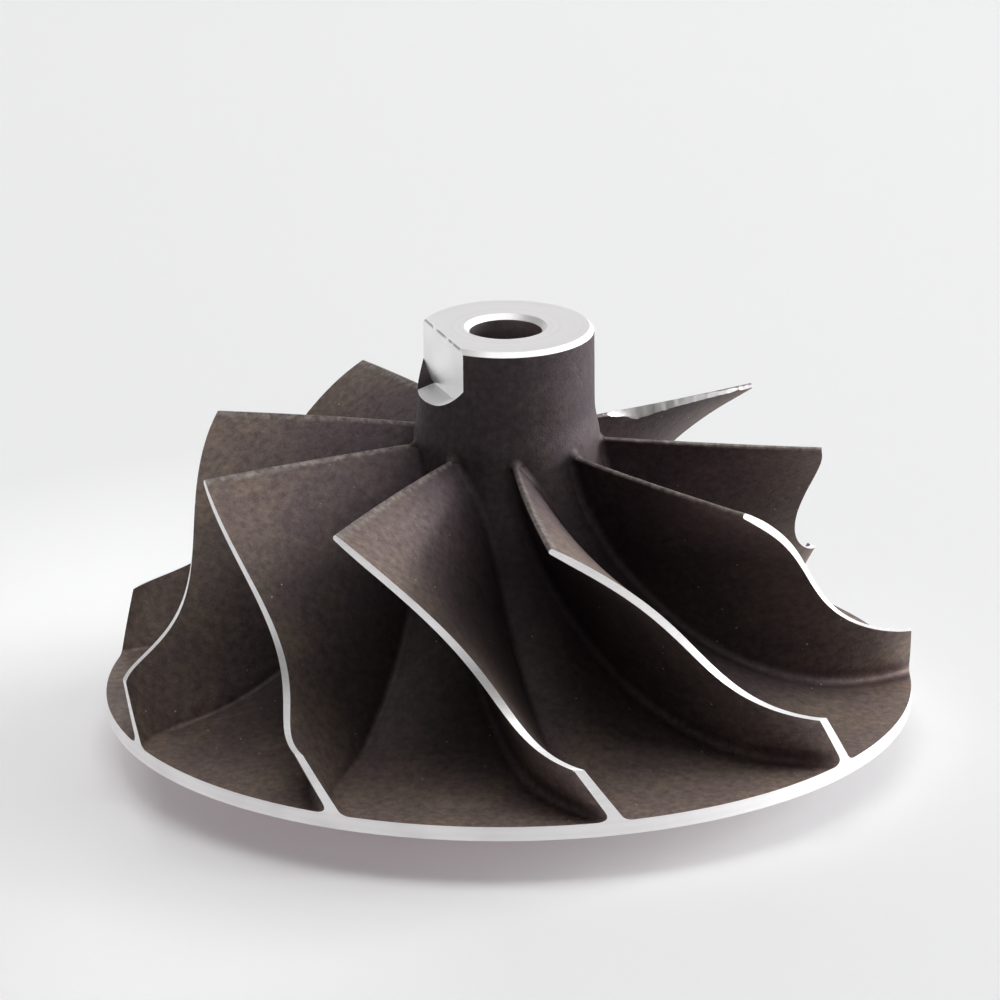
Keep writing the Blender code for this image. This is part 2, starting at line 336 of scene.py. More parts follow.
def turned(name, outline, material):
    """A body of revolution. The closed outline of radius and height runs down its outside."""
    mesh = bpy.data.meshes.new(name)
    count = len(outline)
    points = [(radius, 0.0, height) for radius, height in outline]
    mesh.from_pydata(points, [(k, (k + 1) % count) for k in range(count)], [])
    obj = new_object(name, mesh)
    screw = obj.modifiers.new("turn", "SCREW")
    screw.axis = "Z"
    screw.angle = math.tau
    screw.steps = screw.render_steps = TURNED_STEPS
    solid = baked(obj)
    obj.modifiers.clear()
    obj.data = solid
    solid.materials.clear()
    solid.materials.append(material)
    return obj


def rim_top_of(shape):
    return shape.rear_depth + shape.rim_thickness


def nose_top_of(shape):
    return rim_top_of(shape) + shape.nose_height


def hub_outline(shape):
    """Radius and height of the hub's surface, from the nose to the rim."""
    rim_top = rim_top_of(shape)
    flare = sampled(shape.flare_radii, shape.flare_heights, FLARE_SAMPLES, rim_top)
    return flare + sampled(shape.hub_radii, shape.hub_heights, HUB_SAMPLES, rim_top)[1:]


def bridge(bm, rings):
    """Faces between each closed ring of corners and the next."""
    for ring, following in zip(rings, rings[1:]):
        for k, start in enumerate(ring):
            after = (k + 1) % len(ring)
            bm.faces.new((start, ring[after], following[after], following[k]))


def loft(sections):
    """A closed solid through rings of points that run up one side and down the other."""
    bm = bmesh.new()
    rings = [[bm.verts.new(point) for point in section] for section in sections]
    bridge(bm, rings)
    for ring in (rings[0], rings[-1]):
        last = len(ring) - 1
        for k in range(len(ring) // 2 - 1):
            bm.faces.new((ring[k], ring[k + 1], ring[last - k - 1], ring[last - k]))
    return bm


def finished_mesh(name, bm, material):
    """A mesh from bm, which it frees, with its faces turned outward."""
    bmesh.ops.recalc_face_normals(bm, faces=bm.faces)
    mesh = bpy.data.meshes.new(name)
    bm.to_mesh(mesh)
    bm.free()
    mesh.materials.append(material)
    return mesh


# Blades


class BladeSurface:
    """The middle surface of one blade, and how thick it is.

    u runs from the leading edge, 0, to the rim, 1, and span from the hub, 0, to the tip, 1.
    """

    def __init__(self, shape):
        self.shape = shape
        self.hub = (tuple(shape.hub_radii), tuple(shape.hub_heights))
        self.tip = (tuple(shape.tip_radii), tuple(shape.tip_heights))
        self.wraps = (tuple(shape.hub_wrap), tuple(shape.tip_wrap))
        self.rim_top = rim_top_of(shape)
        self.hub_outline = hub_outline(shape)

    def hub_radius(self, height):
        """Radius of the hub's surface at a height near the leading edges."""
        for (outer, top), (inner, bottom) in zip(self.hub_outline, self.hub_outline[1:]):
            if bottom <= height <= top:
                return mix(outer, inner, (top - height) / (top - bottom))
        return self.hub_outline[0][0]

    def polar(self, u, span):
        """Radius, angle and height."""
        radius = mix(bezier(self.hub[0], u), bezier(self.tip[0], u), span)
        height = mix(bezier(self.hub[1], u), bezier(self.tip[1], u), span)
        turn = mix(bezier(self.wraps[0], u), bezier(self.wraps[1], u), span)
        return radius, turn, height + self.rim_top

    def point(self, u, span):
        return Vector(cartesian(*self.polar(u, span)))

    def span_length(self, u):
        return (self.point(u, 1.0) - self.point(u, 0.0)).length

    def facing(self, u, span):
        """The direction square to the middle surface."""
        step = 0.004
        along = self.point(u + step, span) - self.point(u - step, span)
        across = self.point(u, span + step) - self.point(u, span - step)
        return along.cross(across).normalized()

    def normal(self, u, span):
        """The same direction, as its radial, tangential and axial shares."""
        direction = self.facing(u, span)
        turn = self.polar(u, span)[1]
        outward = Vector((math.cos(turn), math.sin(turn), 0.0))
        onward = Vector((-math.sin(turn), math.cos(turn), 0.0))
        return direction.dot(outward), direction.dot(onward), direction.z

    def edge_pace(self, span):
        """How far one unit of u would carry, at the leading edge."""
        step = 0.01
        return (self.point(step, span) - self.point(0.0, span)).length / step

    def edge_distance(self, u, span):
        """How far the point lies behind the leading edge, near that edge."""
        return max(0.0, u) * self.edge_pace(span)

    def half_thickness(self, u, span):
        shape = self.shape
        late = smooth((u - THINS_FROM) / (1.0 - THINS_FROM))
        root = mix(shape.root_thickness, shape.exit_root_thickness, late)
        tip = mix(shape.tip_thickness, shape.exit_tip_thickness, late)
        share = min(1.0, max(0.0, span))
        fading = smooth((u - FADES_FROM) / FADE_LENGTH)
        swell = shape.root_swell * smooth(u / SWELLED_BY) * (1.0 - fading)
        full = (mix(root, tip, share) + swell * (1.0 - share) ** 2) / 2
        behind = self.edge_distance(u, span)
        radius = shape.edge_thickness / 2
        if behind < radius:
            return math.sqrt(radius**2 - (radius - behind) ** 2) + EDGE_BLUNT
        growth = min(1.0, (behind - radius) / EDGE_TAPER)
        return mix(radius + EDGE_BLUNT, full, growth * (2.0 - growth))

    def face_point(self, u, span, side):
        """A point on one face, offset from the middle surface round the axis."""
        radius, turn, height = self.polar(u, span)
        outward, onward, upward = self.normal(u, span)
        offset = side * self.half_thickness(u, span)
        radius += outward * offset
        return radius, turn + onward * offset / radius, height + upward * offset

    def hub_frame(self, u):
        """The hub's slope along the flow, as radial and axial shares, and its pace."""
        step = 0.004
        ahead, behind = self.polar(u + step, 0.0), self.polar(u - step, 0.0)
        radial, axial = ahead[0] - behind[0], ahead[2] - behind[2]
        pace = math.hypot(radial, axial)
        return radial / pace, axial / pace, pace / (2 * step)

    def fillet(self, u, side):
        """Points from inside the hub up to the face, along a curve tangent to both."""
        base, tip = self.polar(u, 0.0), self.polar(u, 1.0)
        flow_r, flow_z, pace = self.hub_frame(u)
        up_r, up_z = -flow_z, flow_r
        span = self.span_length(u)

        # slide the face along the span until it meets the hub: the fillet's corner
        face = self.face_point(u, 0.0, side)
        above = (face[0] - base[0]) * up_r + (face[2] - base[2]) * up_z
        climb = ((tip[0] - base[0]) * up_r + (tip[2] - base[2]) * up_z) / span
        slide = -above / climb
        corner = self.face_point(u, slide / span, side)

        # the way along the hub from that corner, square to the blade
        outward, onward, upward = self.normal(u, 0.0)
        into_hub = outward * up_r + upward * up_z
        square = side / math.sqrt(1.0 - into_hub**2)
        along = (outward * flow_r + upward * flow_z) * square
        around = onward * square

        # the sharper the corner, the further a fillet of this radius reaches
        rise = Vector((tip[0] - base[0], base[0] * (tip[1] - base[1]), tip[2] - base[2]))
        rise.normalize()
        lean = rise.dot(Vector((along * flow_r, around, along * flow_z)))
        radius = self.shape.root_fillet
        share = self.edge_distance(u, 0.0) / (FILLET_RUN * radius)
        if share < 1.0:
            radius = radius * math.sqrt(1.0 - (1.0 - share) ** 2) + SMALLEST_FILLET
        size = radius * math.sqrt((1.0 + lean) / (1.0 - lean))
        size = min(LARGEST_FILLET_REACH, max(radius / 2, size))

        high = self.face_point(u, (slide + size) / span, side)
        drift = (corner[0] - base[0]) * flow_r + (corner[2] - base[2]) * flow_z
        foot = self.polar(u + (drift + along * size) / pace, 0.0)
        turn = corner[1] + around * size / foot[0]
        low = (foot[0] - FILLET_SINK * up_r, turn, foot[2] - FILLET_SINK * up_z)
        points = [(foot[0] - up_r * MM, turn, foot[2] - up_z * MM)]
        for k in range(FILLET_ROWS):
            t = k / FILLET_ROWS
            weights = ((1 - t) ** 2, 2 * t * (1 - t), t * t)
            rows = zip(low, corner, high)
            points.append(tuple(sum(w * p for w, p in zip(weights, row)) for row in rows))
        return points, slide + size

    def section(self, u):
        """A closed ring of points round the blade, up one face and down the other."""
        ring = []
        for side in (1, -1):
            points, start = self.fillet(u, side)
            span = self.span_length(u)
            top = span + TURNING_STOCK
            for k in range(FACE_ROWS + 1):
                reach = mix(start, top, k / FACE_ROWS) / span
                points.append(self.face_point(u, reach, side))
            ring += points if side == 1 else points[::-1]
        return [cartesian(*corner) for corner in ring]


def collar_mesh(shape, material):
    """The fillet that carries on round the leading edge, shaped like a trumpet's mouth."""
    surface = BladeSurface(shape)
    radius, fillet = shape.edge_thickness / 2, shape.root_fillet
    centre, span = radius / surface.edge_pace(0.0), surface.span_length(0.0)
    rows = [(-MM, radius + fillet), (-FILLET_SINK, radius + fillet)]
    for k in range(1, FILLET_ROWS + 1):
        turn = math.pi / 2 * (1 - k / FILLET_ROWS)
        reach = radius - FILLET_SINK + fillet * (1 - math.cos(turn))
        rows.append((fillet * (1 - math.sin(turn)), reach))
    rows.append((1.5 * fillet, radius - 2 * FILLET_SINK))
    bm = bmesh.new()
    rings = []
    for above, reach in rows:
        out, turn, height = surface.polar(centre, max(0.0, above) / span)
        ring = []
        for k in range(COLLAR_STEPS):
            way = math.tau * k / COLLAR_STEPS
            level = height + reach * math.sin(way)
            around = turn + reach * math.cos(way) / out
            away = surface.hub_radius(level) + above
            ring.append(bm.verts.new(cartesian(away, around, level)))
        rings.append(ring)
    bridge(bm, rings)
    bm.faces.new(rings[0])
    bm.faces.new(rings[-1])
    return finished_mesh("collar", bm, material)


def blade_mesh(shape, material):
    """One blade lofted through its sections, from inside the hub to beyond its tip."""
    surface = BladeSurface(shape)
    start, past_rim = EDGE_STATIONS[-1], 1.0 + TURNING_STOCK / RIM_PACE
    onward = [mix(start, past_rim, k / FLOW_STATIONS) for k in range(1, FLOW_STATIONS + 1)]
    sections = [surface.section(u) for u in (*EDGE_STATIONS, *onward)]
    return finished_mesh("blade", loft(sections), material)


def blade_ring_tree():
    """Geometry Nodes that repeat one blade evenly round the axis."""
    tree = bpy.data.node_groups.new("blade_ring", "GeometryNodeTree")
    for label, way, kind in (
        ("Geometry", "INPUT", "Geometry"),
        ("Blades", "INPUT", "Int"),
        ("First Angle", "INPUT", "Float"),
        ("Skin", "INPUT", "Material"),
        ("Geometry", "OUTPUT", "Geometry"),
    ):
        tree.interface.new_socket(label, in_out=way, socket_type="NodeSocket" + kind)

    def add(kind, x, y, **settings):
        node = tree.nodes.new(kind)
        node.location = (x, y)
        for name, value in settings.items():
            setattr(node, name, value)
        return node

    inputs = add("NodeGroupInput", -900, 0)
    index = add("GeometryNodeInputIndex", -900, -320)
    pitch = add("ShaderNodeMath", -680, -200, operation="DIVIDE")
    pitch.inputs[0].default_value = math.tau
    turn = add("ShaderNodeMath", -500, -280, operation="MULTIPLY_ADD")
    spin = add("ShaderNodeCombineXYZ", -320, -280)
    points = add("GeometryNodePoints", -500, 160)
    copies = add("GeometryNodeInstanceOnPoints", -120, 60)
    solid = add("GeometryNodeRealizeInstances", 80, 60)
    skin = add("GeometryNodeSetMaterial", 260, 60)
    output = add("NodeGroupOutput", 460, 60)
    for source, result, target, socket in (
        (inputs, "Blades", points, "Count"),
        (inputs, "Blades", pitch, 1),
        (index, "Index", turn, 0),
        (pitch, "Value", turn, 1),
        (inputs, "First Angle", turn, 2),
        (turn, "Value", spin, "Z"),
        (points, "Points", copies, "Points"),
        (inputs, "Geometry", copies, "Instance"),
        (spin, "Vector", copies, "Rotation"),
        (copies, "Instances", solid, "Geometry"),
        (solid, "Geometry", skin, "Geometry"),
        (inputs, "Skin", skin, "Material"),
        (skin, "Geometry", output, "Geometry"),
    ):
        tree.links.new(source.outputs[result], target.inputs[socket])
    return tree


def set_inputs(modifier, **values):
    """Give a Geometry Nodes modifier its inputs by name."""
    for item in modifier.node_group.interface.items_tree:
        wanted = item.name.lower().replace(" ", "_")
        if item.item_type == "SOCKET" and item.in_out == "INPUT" and wanted in values:
            modifier[item.identifier] = values[wanted]


# Cutting tools


def lathe_tools(shape, bright, dark):
    """The turned tools, each the solid that it takes away."""
    rim_top, nose_top = rim_top_of(shape), nose_top_of(shape)
    outside, above, below = shape.rim_radius + 6 * MM, nose_top + 2 * MM, -3 * MM
    tips = sampled(shape.tip_radii, shape.tip_heights, TIP_SAMPLES, rim_top)[::-1]
    skirt, flank, chamfer = below / 3, 3.5 * MM, shape.nose_chamfer
    tip_tool = [(outside, above), (outside, skirt), (shape.rim_radius, skirt), *tips]
    tip_tool.append((tips[-1][0], above))
    shoulder = shape.nose_radius + flank
    nose_tool = [
        (shoulder, above),
        (shoulder, nose_top - chamfer - flank),
        (shape.nose_radius - chamfer, nose_top),
        (TOOL_INNER, nose_top),
        (TOOL_INNER, above),
    ]
    bore = shape.bore_radius
    drill = [(bore, above), (bore, below), (TOOL_INNER, below), (TOOL_INNER, above)]
    mouth = bore + shape.bore_chamfer
    countersinks = [
        [
            (mouth + MM, face + MM * way),
            (TOOL_INNER, face - (mouth - TOOL_INNER) * way),
            (TOOL_INNER, face + MM * way),
        ]
        for face, way in ((nose_top, 1), (0.0, -1))
    ]
    back_tool = [
        (outside, shape.rear_depth),
        (outside, below),
        (TOOL_INNER, below),
        (TOOL_INNER, 0.0),
        (shape.boss_radius - shape.boss_edge, 0.0),
        (shape.boss_radius, shape.boss_edge),
        *sampled(shape.rear_radii, shape.rear_heights, REAR_SAMPLES)[::-1],
    ]
    return [
        turned("tip_tool", tip_tool, bright),
        turned("nose_tool", nose_tool, bright),
        turned("drill", drill, dark),
        turned("front_countersink", countersinks[0], bright),
        turned("rear_countersink", countersinks[1][::-1], bright),
        turned("back_tool", back_tool, bright),
    ]


def balance_mill(shape, material, dull):
    """The tapered cutter's sweep: it faces out of the flat and is open above the nose."""
    nose_top = nose_top_of(shape)
    centre = nose_top - shape.flat_length + shape.flat_corner
    bm = bmesh.new()
    rings = []
    for outward in (0.0, MILL_DEPTH):
        wider = outward * math.tan(shape.flat_flare)
        half_width, radius = shape.flat_width / 2 + wider, shape.flat_corner + wider
        outline = [(-half_width, nose_top + MM)]
        for k in range(CORNER_STEPS + 1):
            turn = math.pi * (1 + k / CORNER_STEPS)
            middle = math.copysign(half_width - radius, k - (CORNER_STEPS + 1) / 2)
            outline.append((radius * math.cos(turn) + middle, centre + radius * math.sin(turn)))
        outline.append((half_width, nose_top + MM))
        away = shape.flat_distance + outward
        rings.append([bm.verts.new((away, across, z)) for across, z in outline])
    bridge(bm, rings)
    bm.faces.ensure_lookup_table()
    # these steps of the left wall take the near black finish: painted shade on that wall
    for wall in bm.faces[: shape.flat_shaded_steps]:
        wall.material_index = 1
    bm.faces.new(rings[0])
    bm.faces.new(rings[1])
    bmesh.ops.transform(bm, matrix=Matrix.Rotation(shape.flat_angle, 4, "Z"), verts=bm.verts)
    mill = new_object("balance_mill", finished_mesh("balance_mill", bm, material))
    mill.data.materials.append(dull)
    return mill


def edge_file(shape, material):
    """What a file took off one leading edge: a strip along it with an uneven surface."""
    surface = BladeSurface(shape)
    sections = []
    for i in range(FILE_ROWS + 1):
        span = mix(*FILE_SPAN, i / FILE_ROWS)
        edge, square = surface.point(0.0, span), surface.facing(0.0, span)
        inward = (surface.point(0.01, span) - edge).normalized()
        # the file leaned over most near the hub, and hardly at all towards the tip
        lean = min(1.0, max(0.0, span - 0.1) / 0.22)
        lean *= mix(1.0, 0.2, min(1.0, max(0.0, span - 0.35) / 0.5))
        slope = shape.fettled_facet * lean / (0.6 * MM)
        lower, upper = [], []
        for j in range(FILE_COLUMNS + 1):
            side = mix(-FILE_REACH, FILE_REACH, j / FILE_COLUMNS)
            place = edge + square * side
            fine = noise.noise(place * FINE_WAVES)
            unevenness = noise.noise(place * COARSE_WAVES) + 0.8 * fine
            depth = shape.fettled_depth * (2.0 * lean - 1.0) + 0.1 * MM * unevenness
            depth += slope * (side + 0.25 * MM)
            lower.append(place + inward * depth)
            upper.append(place - inward * MM)
        sections.append(lower + upper[::-1])
    bm = loft(sections)
    turn = shape.first_blade + math.tau * shape.fettled_blade / shape.blade_count
    bmesh.ops.rotate(bm, matrix=Matrix.Rotation(turn, 3, "Z"), verts=bm.verts)
    return new_object("edge_file", finished_mesh("edge_file", bm, material))


def boolean(obj, operation, operand):
    modifier = obj.modifiers.new(operand.name, "BOOLEAN")
    modifier.operation = operation
    modifier.solver = "MANIFOLD"
    modifier.material_mode = "TRANSFER"
    modifier.object = operand


# Materials


class Nodes:
    """Short ways to add and link nodes in one tree."""

    def __init__(self, tree):
        self.tree = tree
        self.column = -800

    def feed(self, sockets, values):
        """Give each named or numbered socket its value: a link, a number or a colour."""
        for key, value in dict(values).items():
            if isinstance(value, bpy.types.NodeSocket):
                self.tree.links.new(value, sockets[key])
            elif isinstance(value, (int, float)):
                sockets[key].default_value = value
            else:
                sockets[key].default_value = (*value, 1.0)

    def add(self, kind, values=(), **settings):
        node = self.tree.nodes.new(kind)
        node.location = (self.column, -120 * (len(self.tree.nodes) % 6))
        self.column += 60
        for name, setting in settings.items():
            setattr(node, name, setting)
        self.feed(node.inputs, values)
        return node

    def math(self, operation, *values):
        node = self.add("ShaderNodeMath", enumerate(values), operation=operation)
        return node.outputs["Value"]

    def noise(self, coordinates, scale, detail=3.0, roughness=0.55, distortion=0.0):
        values = {"Vector": coordinates, "Scale": scale, "Detail": detail}
        values |= {"Roughness": roughness, "Distortion": distortion}
        return self.add("ShaderNodeTexNoise", values).outputs["Fac"]

    def remap(self, value, low, high, out_low=0.0, out_high=1.0):
        """value, stretched from low..high to the other range and kept within it."""
        values = {"Value": value, "From Min": low, "From Max": high}
        values |= {"To Min": out_low, "To Max": out_high}
        return self.add("ShaderNodeMapRange", values).outputs["Result"]

    def between(self, factor, first, second):
        """Two numbers mixed."""
        return self.add("ShaderNodeMix", {0: factor, 2: first, 3: second}).outputs[0]

    def blend(self, factor, first, second, mode="MIX"):
        """Two colours mixed. Each is a socket or a colour."""
        values = {0: factor, 6: first, 7: second}
        return self.add("ShaderNodeMix", values, data_type="RGBA", blend_type=mode).outputs[2]

    def tinted(self, tone, tint):
        """One colour times another, or times a number."""
        return self.blend(1.0, tone, tint, "MULTIPLY")

    def where(self):
        """Object coordinates."""
        return self.add("ShaderNodeTexCoord").outputs["Object"]

    def split(self, coordinates):
        """The x, y and z of coordinates."""
        parts = self.add("ShaderNodeSeparateXYZ", {"Vector": coordinates})
        return [parts.outputs[axis] for axis in "XYZ"]

    def radius(self, x, y):
        """Distance from the wheel's axis."""
        return self.math("SQRT", self.math("MULTIPLY_ADD", x, x, self.math("MULTIPLY", y, y)))

    def place(self, group, values):
        """The outputs of a group, which reads Object coordinates and the given values."""
        values = {"Coordinates": self.where(), **values}
        return self.add("ShaderNodeGroup", values, node_tree=group).outputs

    def bump(self, height, distance, strength, shader):
        values = {"Height": height, "Distance": distance, "Strength": strength}
        self.feed(shader.inputs, {"Normal": self.add("ShaderNodeBump", values).outputs["Normal"]})


def new_group(name, inputs, outputs):
    """A shader node group that reads Coordinates and numbers, and puts out numbers."""
    group = bpy.data.node_groups.new(name, "ShaderNodeTree")
    sockets = group.interface
    sockets.new_socket("Coordinates", in_out="INPUT", socket_type="NodeSocketVector")
    for labels, way in ((inputs, "INPUT"), (outputs, "OUTPUT")):
        for label in labels:
            sockets.new_socket(label, in_out=way, socket_type="NodeSocketFloat")
    nodes = Nodes(group)
    given = nodes.add("NodeGroupInput").outputs
    return group, nodes, given, nodes.add("NodeGroupOutput").inputs


def cast_grain_group():
    """Grain, pits and sparkling crystals of sand-smooth cast aluminium."""
    outputs = ("Height", "Patches", "Stains", "Specks", "Grain", "Mottle")
    group, nodes, given, results = new_group("cast_grain", ("Grain Size",), outputs)
    where = given["Coordinates"]
    per_grain = nodes.math("DIVIDE", 1.0, given["Grain Size"])

    def coarser(share):
        return nodes.math("MULTIPLY", per_grain, share)

    def dots(share, channel, chosen, near):
        """Round dots in those few cells whose colour has enough of one channel."""
        cells = nodes.add("ShaderNodeTexVoronoi", {"Vector": where, "Scale": coarser(share)})
        hue = nodes.add("ShaderNodeSeparateColor", {"Color": cells.outputs["Color"]})
        picked = nodes.remap(hue.outputs[channel], *chosen)
        return nodes.math("MULTIPLY", picked, nodes.remap(cells.outputs["Distance"], *near))

    grain = nodes.noise(where, per_grain, 4.0, 0.65)
    coarse = nodes.noise(where, coarser(0.22), 3.0, 0.6)
    patches = nodes.noise(where, coarser(0.02), 5.0, 0.62)
    stains = nodes.noise(where, coarser(0.035), 4.0, 0.6, 0.6)
    crystals = dots(0.35, "Red", (0.985, 0.99), (0.25, 0.1))
    pores = dots(0.16, "Green", (0.93, 0.95), (0.3, 0.1))
    height = nodes.math("MULTIPLY_ADD", coarse, 0.9, grain)
    height = nodes.math("MULTIPLY_ADD", pores, -0.9, height)
    height = nodes.math("MULTIPLY_ADD", crystals, 0.5, height)
    found = {
        "Height": height,
        "Patches": nodes.remap(patches, 0.3, 0.7),
        "Stains": nodes.remap(stains, 0.48, 0.72),
        "Specks": crystals,
        "Grain": grain,
        "Mottle": nodes.remap(coarse, 0.25, 0.75),
    }
    nodes.feed(results, found)
    return group


def placement_group():
    """Where a point lies: how far out, the painted light and shade that its place gets, and how near a
    leading edge's line.
    """
    radii = ("Hub Radius", "Tip Radius", "Rim Radius")
    edges = ("Hub Edge Height", "Tip Edge Height", "Edge Depth")
    outputs = ("Outward", "Clean", "Edge")
    group, nodes, given, results = new_group("placement", radii + edges + SHADES, outputs)
    hub, tip, rim = (given[label] for label in radii)
    x, y, z = nodes.split(given["Coordinates"])
    radius = nodes.radius(x, y)
    outward = nodes.remap(radius, hub, tip)
    line = nodes.remap(radius, hub, tip, given["Hub Edge Height"], given["Tip Edge Height"])
    # painted shade and light: low down the skin is dark at the hub and light at the rim, high up it
    # varies less
    spread = nodes.math("POWER", nodes.remap(radius, hub, rim), 1.8)
    off_disc = nodes.math("DIVIDE", z, rim)
    outer = nodes.remap(off_disc, 0.18, 0.29, given["Rim Shade"], given["Wall Shade"])
    low = nodes.remap(spread, 0.0, 1.0, given["Hub Shade"], outer)
    high = nodes.math("POWER", outward, 0.7)
    high = nodes.remap(high, 0.0, 1.0, given["Nose Shade"], given["Tip Shade"])
    level = nodes.math("DIVIDE", z, given["Tip Edge Height"])
    painted_light_and_shade = nodes.between(nodes.remap(level, 0.72, 0.94), low, high)

    below = nodes.math("DIVIDE", nodes.math("SUBTRACT", line, z), given["Edge Depth"])
    off_nose = nodes.math("GREATER_THAN", radius, nodes.math("MULTIPLY", hub, 1.06))
    edge = nodes.math("MULTIPLY", nodes.remap(below, 1.0, 0.2), off_nose)
    nodes.feed(results, {"Outward": outward, "Clean": painted_light_and_shade, "Edge": edge})
    return group


def tool_marks_group():
    """Grooves that run round the axis, spaced along the turned outline."""
    outputs = ("Height", "Streaks", "Smears")
    group, nodes, given, results = new_group("tool_marks", ("Feed",), outputs)
    x, y, z = nodes.split(given["Coordinates"])
    # radius less height grows steadily along the tips, the rim and each face
    along = nodes.math("SUBTRACT", nodes.radius(x, y), z)
    count = nodes.math("DIVIDE", along, given["Feed"])
    groove = nodes.math("SINE", nodes.math("MULTIPLY", count, math.tau))
    place = nodes.add("ShaderNodeCombineXYZ", {"X": count})
    streaks = nodes.noise(place.outputs["Vector"], 0.7, 2.0, 0.5)
    smears = nodes.noise(given["Coordinates"], 260.0, 3.0, 0.5)
    height = nodes.math("MULTIPLY_ADD", streaks, 1.2, nodes.math("MULTIPLY", groove, 0.2))
    nodes.feed(results, {"Height": height, "Streaks": streaks, "Smears": smears})
    return group


def new_material(name):
    material = bpy.data.materials.new(name)
    material.use_nodes = True
    tree = material.node_tree
    return material, Nodes(tree), tree.nodes["Principled BSDF"]


def cast_skin_material(shape, finish):
    material, nodes, shader = new_material("cast_skin")
    grain = nodes.place(cast_grain_group(), {"Grain Size": finish.grain_size})
    rim_top = rim_top_of(shape)
    sizes = {
        "Hub Radius": shape.hub_radii[0],
        "Tip Radius": shape.tip_radii[0],
        "Rim Radius": shape.rim_radius,
        "Hub Edge Height": rim_top + shape.hub_heights[0],
        "Tip Edge Height": rim_top + shape.tip_heights[0],
        "Edge Depth": shape.edge_thickness * 0.6,
    }
    shades = {label: getattr(finish, label.lower().replace(" ", "_")) for label in SHADES}
    place = nodes.place(placement_group(), sizes | shades)

    tone = nodes.blend(grain["Patches"], finish.skin_dark, finish.skin)
    tone = nodes.blend(nodes.math("MULTIPLY", grain["Stains"], 0.6), tone, finish.skin_warm)
    # painted shade: the skin is darker low on the hub, in the passages and on the nose, and lighter by
    # the rim and high up
    tone = nodes.tinted(tone, place["Clean"])
    # painted shade: ambient occlusion darkens the skin in the fillets and the passages, and tints it
    # with the corner shade's colour
    shaded_corners = ((finish.fillet_reach, 0.55, 0.98), (finish.passage_reach, 0.1, 0.7))
    for reach, shut, clear in shaded_corners:
        corner = nodes.add("ShaderNodeAmbientOcclusion", {"Distance": reach}, samples=6)
        free = nodes.remap(corner.outputs["AO"], shut, clear)
        tone = nodes.tinted(tone, nodes.blend(free, finish.corner_shade, (1.0, 1.0, 1.0)))
    # the cooler tint by the hub colours the painted shade there
    tint = nodes.blend(place["Outward"], finish.hub_shade_tint, finish.outer_tint)
    tone = nodes.tinted(tone, tint)
    # the leading edges' tops are lighter: partly wear, partly a painted highlight where they face the
    # light
    edge = nodes.remap(place["Outward"], 0.0, 0.5, 0.5, 1.0)
    edge = nodes.math("MULTIPLY", place["Edge"], edge)
    wear_and_highlight = nodes.math("MULTIPLY", edge, nodes.remap(grain["Mottle"], 0.2, 0.75, 0.35, 1.0))
    tone = nodes.blend(wear_and_highlight, tone, finish.skin_edge)
    tone = nodes.tinted(tone, nodes.remap(grain["Mottle"], 0.0, 1.0, 0.64, 1.36))
    tone = nodes.tinted(tone, nodes.remap(grain["Grain"], 0.3, 0.7, 0.75, 1.25))
    # painted glints: light specks on the skin's crystals, which are also smoother
    glints = nodes.math("MULTIPLY", grain["Specks"], place["Outward"])
    tone = nodes.blend(glints, tone, GLINT_COLOUR)
    roughness = nodes.remap(grain["Grain"], 0.25, 0.75, 0.5, 0.68)
    roughness = nodes.math("MULTIPLY_ADD", grain["Specks"], -0.25, roughness)
    roughness = nodes.math("MULTIPLY_ADD", wear_and_highlight, -0.2, roughness)
    looks = {"Base Color": tone, "Roughness": roughness, "Metallic": finish.skin_metallic}
    nodes.feed(shader.inputs, looks)
    nodes.bump(grain["Height"], 0.05 * MM, 0.75, shader)
    return material


def tooled_material(name, finish, metal, roughness, depth, metallic=1.0):
    """Bare metal as a tool leaves it, and how rough and how deep its marks are."""
    material, nodes, shader = new_material(name)
    group = bpy.data.node_groups.get("tool_marks") or tool_marks_group()
    marks = nodes.place(group, {"Feed": finish.turning_feed})
    dull = [value * 0.94 for value in metal]
    tone = nodes.blend(nodes.remap(marks["Streaks"], 0.35, 0.65), dull, metal)
    tone = nodes.blend(nodes.remap(marks["Smears"], 0.45, 0.75, 0.0, 0.3), tone, dull)
    spread = nodes.remap(marks["Smears"], 0.3, 0.7, roughness * 0.85, roughness * 1.3)
    nodes.feed(shader.inputs, {"Base Color": tone, "Roughness": spread, "Metallic": metallic})
    nodes.bump(marks["Height"], depth * MM, 0.6, shader)
    return material


def milled_material(shape, finish):
    """The balance flat: bright metal with a broken dark line of painted shade along its top edge, where
    a burr is.
    """
    material = tooled_material("milled_metal", finish, finish.milled, 0.34, 0.002)
    nodes = Nodes(material.node_tree)
    sockets = material.node_tree.nodes["Principled BSDF"].inputs
    tone = sockets["Base Color"].links[0].from_socket
    nose_top = nose_top_of(shape)
    where = nodes.where()
    _, _, z = nodes.split(where)
    # painted shade of a burr: a broken dark line along the flat's top edge
    high = nodes.remap(z, *(nose_top - depth for depth in BURR_DEPTHS))
    broken = nodes.remap(nodes.noise(where, 700.0, 3.0), 0.38, 0.5)
    burr_shade = nodes.math("MULTIPLY", high, nodes.math("MULTIPLY", broken, 0.75))
    nodes.feed(sockets, {"Base Color": nodes.blend(burr_shade, tone, BURR_SHADE_COLOUR)})
    return material


